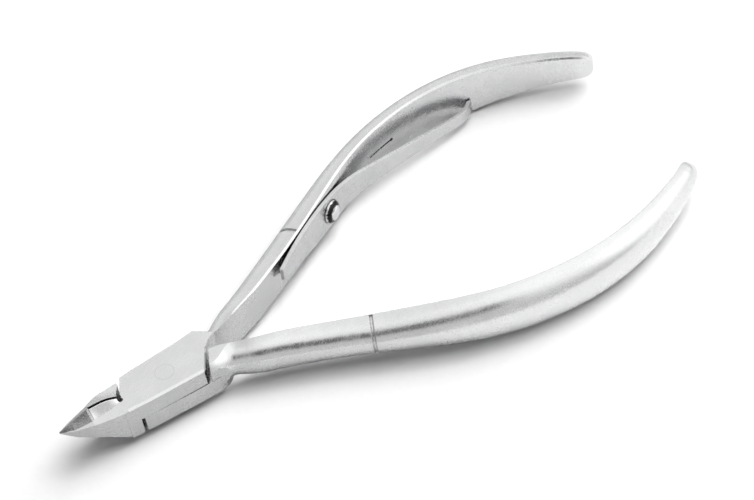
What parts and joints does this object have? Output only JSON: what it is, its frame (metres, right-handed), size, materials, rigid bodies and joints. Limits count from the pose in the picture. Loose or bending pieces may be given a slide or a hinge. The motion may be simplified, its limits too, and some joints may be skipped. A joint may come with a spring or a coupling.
{
  "type": "cuticle nipper",
  "caption": "Hand nipper for trimming cuticles: two crossed forged levers with short angled jaws, a half-lapped riveted joint, bowed handles and a riveted leaf spring.",
  "frame": {"origin": "where the axis of the joint rivet leaves the flat underside of the head", "axes": "+X runs back along the tool from the jaws to the handle ends, +Y is towards the handle that carries the leaf spring, +Z is the axis of the joint rivet, out of the head's top flat"},
  "size_m": [0.1074, 0.0524, 0.009],
  "materials": {
    "spring_side_lever": "satin stainless steel, finely ground head flats",
    "plain_side_lever": "satin stainless steel, finely ground head flats",
    "joint_rivet": "ground flush with the head flats",
    "leaf_spring": "satin spring steel strip",
    "spring_rivet": "polished domed rivet head"
  },
  "bodies": {
    "spring_side": {"spring_side_lever": "spring_side_lever", "joint_rivet": "joint_rivet", "spring_rivet": "spring_rivet"},
    "plain_side": {"plain_side_lever": "plain_side_lever"},
    "spring_leaf": {"leaf_spring": "leaf_spring"}
  },
  "joints": [
    {"name": "handle_pivot", "type": "hinge", "parent": "spring_side", "child": "plain_side", "pos_m": [0, 0, 0], "axis": [0, 0, -1], "range_deg": [0, 20]},
    {"name": "leaf_spring_swing", "type": "hinge", "parent": "spring_side", "child": "spring_leaf", "pos_m": [0.0383, 0.01425, 0.0029], "axis": [0.4854, -0.8743, 0], "range_deg": [0, 8.5]}
  ]
}
